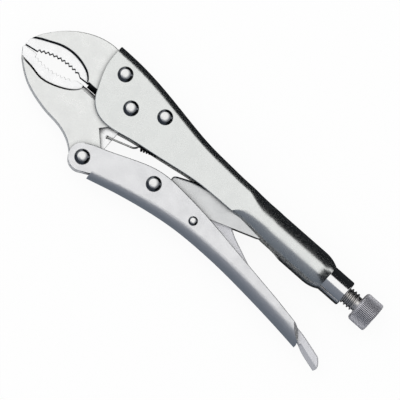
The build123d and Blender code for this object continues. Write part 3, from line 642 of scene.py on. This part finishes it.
@dataclass
class JawSpring:
    """The spring wire: front hook in the jaw, coil, and rear hook in the tab of the handle.

    Args:
        wire: diameter of the wire.
        radius: radius of the coil, to the middle of the wire.
        pitch: advance of one turn.
        turns: turns of the coil.
        tab_turns: turns that count for the place of the handle's tab.
        start: x and y at which the line of the coil starts.
        angle: direction of that line, in degrees from X.
        hole: x and y of the hole in the jaw.
        hook_angle: direction of the front hook's straight run, in degrees from X.
        hook_r: bend radius of both hooks.
        tab: thickness of the jaw's tab.
        reach: distance from the coil to the handle's tab.
        sheet: thickness of the handle's tab.
        through: how far the front hook sticks out of the jaw's tab, in wires.
        lead: length left for the bend from the straight run to the coil, in radii of the coil.
        pull: pull of the bends at both ends of the coil, in radii of the coil and of the hook.
        clear: room between the handle's tab and the bend behind it.
        tip: length of the rear hook's end, in wires.
        cut: radius to which the cut ends close, in wires.
        sides: corners of the wire's section.
        turn_points: points along each turn of the coil.
        bend_points: points along each bend and short run.
        run_points: points along the front and the rear straight run.
        opening: how far the jaw opens, in degrees; not used.
    """

    wire: float = 1.1 * MM
    radius: float = 2.9 * MM
    pitch: float = 1.65 * MM
    turns: float = 15.25
    tab_turns: float = 15.0
    start: Pair = (17.6 * MM, -11.3 * MM)
    angle: float = 21.8
    hole: Pair = (0.5 * MM, -20.5 * MM)
    hook_angle: float = 18.5
    hook_r: float = 1.7 * MM
    tab: float = 4.0 * MM
    reach: float = 17.0 * MM
    sheet: float = 2.5 * MM
    through: float = 1.2
    lead: float = 1.4
    pull: float = 1.6
    clear: float = 0.6 * MM
    tip: float = 1.5
    cut: float = 0.02
    sides: int = 10
    turn_points: int = 28
    bend_points: int = 8
    run_points: tuple[int, int] = (12, 14)
    opening: float = 24.0

    def directions(self) -> tuple[np.ndarray, np.ndarray, np.ndarray]:
        """Directions of the coil.

        Returns:
            Unit vectors along the coil, across it in the side view, and out of the side.
        """
        a = math.radians(self.angle)
        along = np.array([math.cos(a), math.sin(a), 0.0])
        return along, np.array([-along[1], along[0], 0.0]), np.array([0.0, 0.0, 1.0])

    def tab_at(self) -> np.ndarray:
        """Point of the coil's line at the handle's tab."""
        distance = self.tab_turns * self.pitch + self.reach
        return np.array([*self.start, MID_Z]) + self.directions()[0] * distance

    def coil(self, turn: np.ndarray) -> tuple[np.ndarray, np.ndarray]:
        """Helix: one radius round the coil's line, one pitch along it for each turn.

        Args:
            turn: turns from the front of the coil.

        Returns:
            Points and directions of the wire.
        """
        along, up, out = self.directions()
        a = 2 * math.pi * turn[:, None]
        origin = np.array([*self.start, MID_Z])
        points = origin + along * self.pitch * turn[:, None]
        points = points + self.radius * (out * np.cos(a) + up * np.sin(a))
        heading = 2 * math.pi * self.radius * (up * np.cos(a) - out * np.sin(a))
        return points, unit(heading + along * self.pitch)

    @staticmethod
    def bridge(p0: np.ndarray, t0: np.ndarray, p1: np.ndarray, t1: np.ndarray, pull: float,
               count: int) -> np.ndarray:
        """Cubic between two points: the four Hermite weights times ends and pulls.

        Args:
            p0: where it starts.
            t0: direction in which it starts.
            p1: where it ends.
            t1: direction in which it ends.
            pull: length of the pull at both ends.
            count: points between the ends.

        Returns:
            The points, without the ends.
        """
        s = np.linspace(0, 1, count + 2)[1:-1, None]
        ends = (2 * s ** 3 - 3 * s ** 2 + 1) * p0 + (3 * s ** 2 - 2 * s ** 3) * p1
        return ends + pull * ((s ** 3 - 2 * s ** 2 + s) * t0 + (s ** 3 - s ** 2) * t1)

    def quarter(self, p0: np.ndarray, t0: np.ndarray, t1: np.ndarray) -> np.ndarray:
        """Quarter circle of a hook: the sine of the angle one way, one less its cosine the other.

        Args:
            p0: where it starts.
            t0: direction in which it starts.
            t1: direction in which it ends.

        Returns:
            The points.
        """
        a = np.linspace(0, math.pi / 2, self.bend_points)[:, None]
        return p0 + self.hook_r * (np.sin(a) * t0 + (1 - np.cos(a)) * t1)

    def path(self) -> tuple[np.ndarray, np.ndarray]:
        """Centre line of the wire, from the front hook to the rear one.

        Returns:
            Points and, for each of them, a direction that no tangent comes near.
        """
        along, up, out = self.directions()
        h = math.radians(self.hook_angle)
        run = np.array([math.cos(h), math.sin(h), 0.0])
        side = np.array([-run[1], run[0], 0.0])
        hole = np.array([*self.hole, MID_Z])
        hook_end = hole - out * (self.tab / 2 + self.through * self.wire)
        bend_from = hole + out * (self.radius - self.hook_r)
        hook = np.linspace(hook_end, bend_from, self.bend_points)[:-1]
        bend = self.quarter(bend_from, out, run)
        turn = np.linspace(0, self.turns, round(self.turn_points * self.turns))
        coil, heading = self.coil(turn)
        length = float((coil[0] - bend[-1]) @ run) - self.lead * self.radius
        straight = np.linspace(bend[-1], bend[-1] + run * length, self.run_points[0])[1:]
        enter = self.bridge(straight[-1], run, coil[0], heading[0], self.pull * self.radius,
                            self.bend_points + 2)
        rear = coil[-1] + (along - out) * self.hook_r
        leave = self.bridge(coil[-1], heading[-1], rear, along, self.pull * self.hook_r,
                            self.bend_points)
        tail = rear + along * (float((self.tab_at() - rear) @ along) + self.sheet + self.clear)
        back = np.linspace(rear, tail, self.run_points[1])[:-1]
        drop = self.quarter(tail, along, -up)
        tip = np.linspace(drop[-1], drop[-1] - up * self.tip * self.wire, self.bend_points // 2)[1:]
        parts = [(hook, side, side), (bend, side, side), (straight, side, side),
                 (enter, side, along), (coil, along, along), (leave, along, out),
                 (back, out, out), (drop, out, out), (tip, out, out)]
        refs = []
        for stretch, first, last in parts:
            share = np.linspace(0, 1, len(stretch))[:, None]
            refs.append((1 - share) * first + share * last)
        return np.concatenate([stretch for stretch, _, _ in parts]), np.concatenate(refs)

    def surface(self) -> tuple[np.ndarray, np.ndarray]:
        """Wire: a circle carried along the line, whose first and last ring shrink to close it.

        Returns:
            Vertices and faces.
        """
        points, refs = self.path()
        tangent = unit(np.gradient(points, axis=0))
        across = unit(refs - np.sum(refs * tangent, axis=1, keepdims=True) * tangent)
        other = np.cross(tangent, across)
        a = (np.arange(self.sides) * 2 * math.pi / self.sides)[None, :, None]
        ring = np.cos(a) * across[:, None, :] + np.sin(a) * other[:, None, :]
        size = np.full(len(points) + 2, self.wire / 2)
        size[[0, -1]] = self.cut * self.wire
        rows = np.concatenate([[0], np.arange(len(points)), [len(points) - 1]])
        tube = points[rows][:, None, :] + size[:, None, None] * ring[rows]
        return tube.reshape(-1, 3), grid_faces(len(rows), self.sides, True)

    def shorten(self, spring: bpy.types.Object) -> None:
        """Gives the finished wire its own copy of its mesh.

        Args:
            spring: the finished wire.
        """
        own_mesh(spring)

    def build(self, made: Materials) -> None:
        """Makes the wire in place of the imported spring, dresses it, and makes it ride.

        Args:
            made: materials by the name of their finish.
        """
        spring = new_piece("jaw_spring_wire", *self.surface())
        spring.data.materials.append(made[SPRING_BLACK.name])
        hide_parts("jaw_spring")
        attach(spring, "upper_handle")
        self.shorten(spring)
        LOG.info("spring: %s vertices of wire", len(spring.data.vertices))


# Colours of the flags by angle from straight up, the two ends of the range first.
DARK_FLAG: Stops = ((0.0, "#232527"), (180.0, "#1C1E20"))
BACK_FLAG: Stops = ((0.0, "#232527"), (180.0, "#5A5E63"), (86.0, "#1C1E20"), (90.0, "#5A5E63"))
FRONT_FLAG: Stops = ((0.0, "#FFFFFF"), (180.0, "#4A4C50"), (10.5, "#FFFFFF"), (14.5, "#82868F"),
                     (80.0, "#69707A"), (90.0, "#4A4C50"))


@dataclass
class Studio:
    """White floor and surroundings, dark flags that only reflections see, soft light and camera.

    Args:
        centre: x and y of the middle of the picture.
        width: width of the picture at the tool.
        turn_deg: how far the camera is turned about its line of sight.
        lean_deg: how far it leans to the lever.
        aim_z: height at which it looks.
        distance: how far away it is.
        sensor_mm: width of its sensor.
        room: strength of the light from all round.
        floor_half: half the width of the floor.
        floor_z: height of the floor, just under the tool.
        floor_white: how much of the floor is plain white where it is seen.
        flag_z: height at which the flags lie on the floor.
        flag_near: distance from the screw's axis at which they start.
        flag_far: distance at which they turn up.
        flag_rows: rows of vertices on the floor, and as many above it.
        end_near: share of that distance at which the flags at both ends start.
        front_half: half the width of the front flag.
        back_half: half the width of the back flag and of the one under the gap.
        end_half: half the width of the flags at both ends.
        back_tilt: angle from straight up to the top of the back flag, in degrees.
        front_tilt: the same for the front flag.
        jaw_end_tilt: the same for the flag at the jaws.
        knob_end_tilt: the same for the flag at the knob.
        gap_tilt: the same for the flag under the gap, which all but lies flat.
        gap_far: distance at which that flag ends and the front one starts.
        lamp_size: side of the lamp.
        lamp_power: its power in watts.
        lamp_at: its place.
        lamp_lean_deg: how far it leans about Y.
    """

    centre: Pair = (62.75 * MM, -12.6 * MM)
    width: float = 224.0 * MM
    turn_deg: float = 41.3
    lean_deg: float = 5.4
    aim_z: float = 13.0 * MM
    distance: float = 2.6
    sensor_mm: float = 36.0
    room: float = 0.8
    floor_half: float = 4.0
    floor_z: float = -0.3 * MM
    floor_white: float = 0.92
    flag_z: float = -0.1 * MM
    flag_near: float = 4.0 * MM
    flag_far: float = 0.6
    flag_rows: int = 24
    end_near: float = 0.9
    front_half: float = 2.0
    back_half: float = 0.55
    end_half: float = 0.42
    back_tilt: float = 36.0
    front_tilt: float = 10.0
    jaw_end_tilt: float = 70.0
    knob_end_tilt: float = 30.0
    gap_tilt: float = 89.9
    gap_far: float = 26.0 * MM
    lamp_size: float = 0.9
    lamp_power: float = 4.0
    lamp_at: tuple[float, float, float] = (-0.45, 0.1, 1.2)
    lamp_lean_deg: float = -22.0

    def white(self, tree: Tree, lit: Socket, share: float) -> Socket:
        """Mixes plain white into a shader for rays from the camera, reflections and glass.

        Args:
            tree: node tree of the floor or of the world.
            lit: shader that takes the light.
            share: how much of it is plain white for those rays.

        Returns:
            The mixed shader.
        """
        rays = add_node(tree, "ShaderNodeLightPath").outputs
        seen = add_node(tree, "ShaderNodeMath", {
            0: rays["Is Camera Ray"], 1: rays["Is Glossy Ray"]}, operation="MAXIMUM")
        either = add_node(tree, "ShaderNodeMath", {
            0: seen.outputs["Value"], 1: rays["Is Transmission Ray"]}, operation="MAXIMUM")
        part = add_node(tree, "ShaderNodeMath", {0: either.outputs["Value"], 1: share},
                        operation="MULTIPLY")
        kind = "ShaderNodeBackground" if lit.node.type == "BACKGROUND" else "ShaderNodeEmission"
        plain = add_node(tree, kind, {"Color": WHITE, "Strength": 1.0})
        return add_node(tree, "ShaderNodeMixShader", {
            0: part.outputs["Value"], 1: lit, 2: plain.outputs[0]}).outputs["Shader"]

    def surroundings(self) -> None:
        """Sets the world: even soft light, plain white where it is seen."""
        world = bpy.data.worlds.new("soft_room")
        world.use_nodes = True
        tree = world.node_tree
        tree.nodes.clear()
        room = add_node(tree, "ShaderNodeBackground", {"Color": WHITE, "Strength": self.room})
        add_node(tree, "ShaderNodeOutputWorld", {
            "Surface": self.white(tree, room.outputs[0], 1.0)})
        bpy.context.scene.world = world

    def floor(self) -> None:
        """Makes the floor, a level square that is white with a trace of the shadow."""
        made, tree = new_tree("white_floor")
        chalk = add_node(tree, "ShaderNodeBsdfDiffuse", {"Color": linear("#F4F4F4")})
        add_node(tree, "ShaderNodeOutputMaterial", {
            "Surface": self.white(tree, chalk.outputs["BSDF"], self.floor_white)})
        edges = np.array([-self.floor_half, self.floor_half])
        x, y = np.meshgrid(edges, edges, indexing="ij")
        points = np.stack([x, y, np.full_like(x, self.floor_z)], axis=-1).reshape(-1, 3)
        floor = new_piece("floor", points, grid_faces(2, 2, False)[:, ::-1])
        floor.data.materials.append(made)

    @staticmethod
    def flag_glow(name: str, away: np.ndarray, stops: Stops) -> bpy.types.Material:
        """Makes the material of a flag, coloured by the angle from straight up.

        Args:
            name: name of the flag.
            away: direction in which it stands.
            stops: colours by that angle, in degrees.

        Returns:
            The material.
        """
        made, tree = new_tree(name)
        place = add_node(tree, "ShaderNodeTexCoord").outputs["Object"]
        lean = add_node(tree, "ShaderNodeVectorMath", {0: place, 1: tuple(away)},
                        operation="DOT_PRODUCT")
        height = add_node(tree, "ShaderNodeSeparateXYZ", {0: place}).outputs["Z"]
        angle = add_node(tree, "ShaderNodeMath", {0: lean.outputs["Value"], 1: height},
                         operation="ARCTAN2")
        share = add_node(tree, "ShaderNodeMath", {
            0: angle.outputs["Value"], 1: math.pi}, operation="DIVIDE")
        ramp = add_node(tree, "ShaderNodeValToRGB", {"Fac": share.outputs["Value"]})
        shades = ramp.color_ramp.elements
        for i, (degrees, code) in enumerate(stops):
            stop = shades[i] if i < 2 else shades.new(1.0)
            stop.position = degrees / 180
            stop.color = linear(code)
        glow = add_node(tree, "ShaderNodeEmission", {
            "Color": ramp.outputs["Color"], "Strength": 1.0})
        add_node(tree, "ShaderNodeOutputMaterial", {"Surface": glow.outputs["Emission"]})
        return made

    def flag(self, name: str, turn: float, near: float, far: float, half: float, tilt: float,
             stops: Stops) -> None:
        """Makes a flag: a strip on the floor that turns straight up at its far end.

        Args:
            name: name of the flag.
            turn: direction in which it stands, in degrees from +Y towards -X.
            near: distance from the screw's axis at which it starts on the floor.
            far: distance at which it turns up.
            half: half its width.
            tilt: angle from straight up at which its upper edge stands, in degrees.
            stops: colours by angle from straight up.
        """
        top = far / math.tan(math.radians(tilt))
        s = np.linspace(0, 1, self.flag_rows)
        out = np.concatenate([near + (far - near) * s, np.full(self.flag_rows, far)])
        z = np.concatenate([np.full(self.flag_rows, self.flag_z), top * s])
        a = math.radians(turn)
        away = np.array([-math.sin(a), math.cos(a), 0.0])
        along = np.array([math.cos(a), math.sin(a), 0.0])
        across = np.array([-half, half])
        middle = np.array([*self.centre, 0.0]) * np.abs(along)
        rows = (middle + out[:, None, None] * away + across[None, :, None] * along
                + z[:, None, None] * np.array([0.0, 0.0, 1.0]))
        flag = new_piece(name, rows.reshape(-1, 3), grid_faces(len(rows), 2, False))
        flag.data.materials.append(self.flag_glow(name, away, stops))
        flag.visible_camera = False
        flag.visible_diffuse = False
        flag.visible_shadow = False
        flag.visible_transmission = False

    def flags(self) -> None:
        """Sets the flags round the tool, which give its metal dark bands to mirror."""
        near, far = self.flag_near, self.flag_far
        self.flag("back_flag", 0.0, near, far, self.back_half, self.back_tilt, BACK_FLAG)
        end = self.end_near * far
        self.flag("jaw_end_flag", 90.0, end, far, self.end_half, self.jaw_end_tilt, DARK_FLAG)
        self.flag("knob_end_flag", -90.0, end, far, self.end_half, self.knob_end_tilt, DARK_FLAG)
        self.flag("gap_flag", 180.0, near, self.gap_far, self.back_half, self.gap_tilt, DARK_FLAG)
        self.flag("front_flag", 180.0, self.gap_far, far, self.front_half, self.front_tilt,
                  FRONT_FLAG)

    def lamp(self) -> None:
        """Hangs one large soft lamp over the tool, towards the jaws."""
        light = bpy.data.lights.new("soft_lamp", "AREA")
        light.shape = "SQUARE"
        light.size = self.lamp_size
        light.energy = self.lamp_power
        lamp = bpy.data.objects.new("soft_lamp", light)
        lamp.location = self.lamp_at
        lamp.rotation_euler = (0.0, math.radians(self.lamp_lean_deg), 0.0)
        lamp.visible_glossy = False
        bpy.context.scene.collection.objects.link(lamp)

    def camera(self) -> None:
        """Sets the camera over the tool, turned as in the photograph, leaning to the lever."""
        data = bpy.data.cameras.new("camera")
        data.sensor_width = self.sensor_mm
        data.lens = data.sensor_width * self.distance / self.width
        camera = bpy.data.objects.new("camera", data)
        lean = math.radians(self.lean_deg)
        camera.location = (self.centre[0], self.centre[1] - self.distance * math.sin(lean),
                           self.aim_z + self.distance * math.cos(lean))
        camera.rotation_mode = "ZYX"
        camera.rotation_euler = (lean, 0.0, math.radians(self.turn_deg))
        bpy.context.scene.collection.objects.link(camera)
        bpy.context.scene.camera = camera

    def build(self) -> None:
        """Sets everything round the tool."""
        self.camera()
        self.surroundings()
        self.floor()
        self.flags()
        self.lamp()
        bpy.context.scene.view_settings.view_transform = "Standard"


GROUPS = (
    Dressed("upper handle", {"upper_handle": SHEET_NICKEL, "threaded_bush": BRIGHT_TURNED,
                             "front_jaw_rivet": RIVET_CHROME, "rear_jaw_rivet": RIVET_CHROME,
                             "jaw_pivot_rivet": RIVET_CHROME}),
    Dressed("jaws", {"fixed_jaw": FORGED_NICKEL, "moving_jaw": LOWER_FORGED_NICKEL}),
    Dressed("lever", {"lower_handle": TUMBLED_NICKEL, "lever_pivot_rivet": RIVET_CHROME,
                      "link_pivot_rivet": RIVET_CHROME, "release_pin": RIVET_CHROME}),
    Dressed("toggle", {"toggle_link": LINK_NICKEL, "release_lever": STAMPED_NICKEL}),
    Dressed("adjuster", {"adjusting_screw": SCREW_STEEL, "adjusting_knob": KNURLED_STEEL}),
)


def main() -> None:
    """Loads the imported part, dresses it, builds the spring and sets the studio."""
    logging.basicConfig(level=logging.INFO, format="%(message)s")
    for old in list(bpy.data.objects):
        bpy.data.objects.remove(old)
    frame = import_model()
    made = {finish.name: finish.material() for finish in FINISHES}
    for group in GROUPS:
        group.dress(frame, made)
    JawSpring().build(made)
    Studio().build()


if __name__ == "__main__":
    main()
